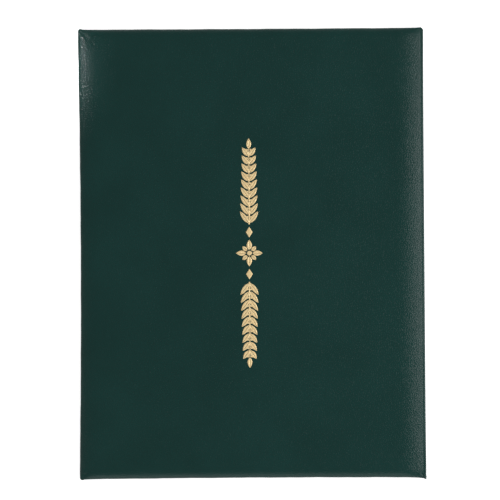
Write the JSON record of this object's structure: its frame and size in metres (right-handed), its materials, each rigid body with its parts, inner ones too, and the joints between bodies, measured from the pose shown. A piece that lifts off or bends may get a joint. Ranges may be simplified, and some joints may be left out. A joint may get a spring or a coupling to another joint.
{
  "type": "diploma cover",
  "caption": "Padded leatherette diploma cover that opens like a book, with boards, moire linings, clear film, ribbon corners and a gold foil ornament.",
  "frame": {"origin": "middle of the underside of the closed cover, on the table", "axes": "+X towards the spine, +Y along the spine to the head of the cover, +Z out of the padded front"},
  "size_m": [0.2286, 0.2984, 0.0111],
  "materials": {
    "green_leatherette": "fine pebble grain, soft sheen",
    "chipboard": "matte",
    "foam": "matte",
    "moire_lining": "moire sheen",
    "clear_film": "clear gloss",
    "green_satin": "satin ribbon",
    "gold_foil": "pale gold foil"
  },
  "bodies": {
    "back": {"back_leatherette": "green_leatherette", "back_board": "chipboard", "back_hinge_lining": "green_leatherette", "back_lining": "moire_lining", "clear_film": "clear_film", "ribbon_spine_head": "green_satin", "ribbon_spine_tail": "green_satin", "ribbon_free_head": "green_satin", "ribbon_free_tail": "green_satin"},
    "spine": {"spine_leatherette": "green_leatherette", "spine_lining": "green_leatherette"},
    "front": {"front_leatherette": "green_leatherette", "front_board": "chipboard", "front_hinge_lining": "green_leatherette", "foam_pad": "foam", "front_lining": "moire_lining", "foil_rosette": "gold_foil", "foil_diamond_head": "gold_foil", "foil_diamond_tail": "gold_foil", "foil_laurel_head": "gold_foil", "foil_laurel_tail": "gold_foil"}
  },
  "joints": [
    {"name": "spine_fold", "type": "hinge", "parent": "back", "child": "spine", "pos_m": [0.1138, 0, 0.0005], "axis": [0, 1, 0], "range_deg": [0, 66.25]},
    {"name": "cover_fold", "type": "hinge", "parent": "spine", "child": "front", "pos_m": [0.1138, 0, 0.0077], "axis": [0, 1, 0], "range_deg": [0, 113.75]}
  ],
  "couplings": [
    {"joint": "spine_fold", "follows": "cover_fold", "ratio": 0.58242}
  ]
}
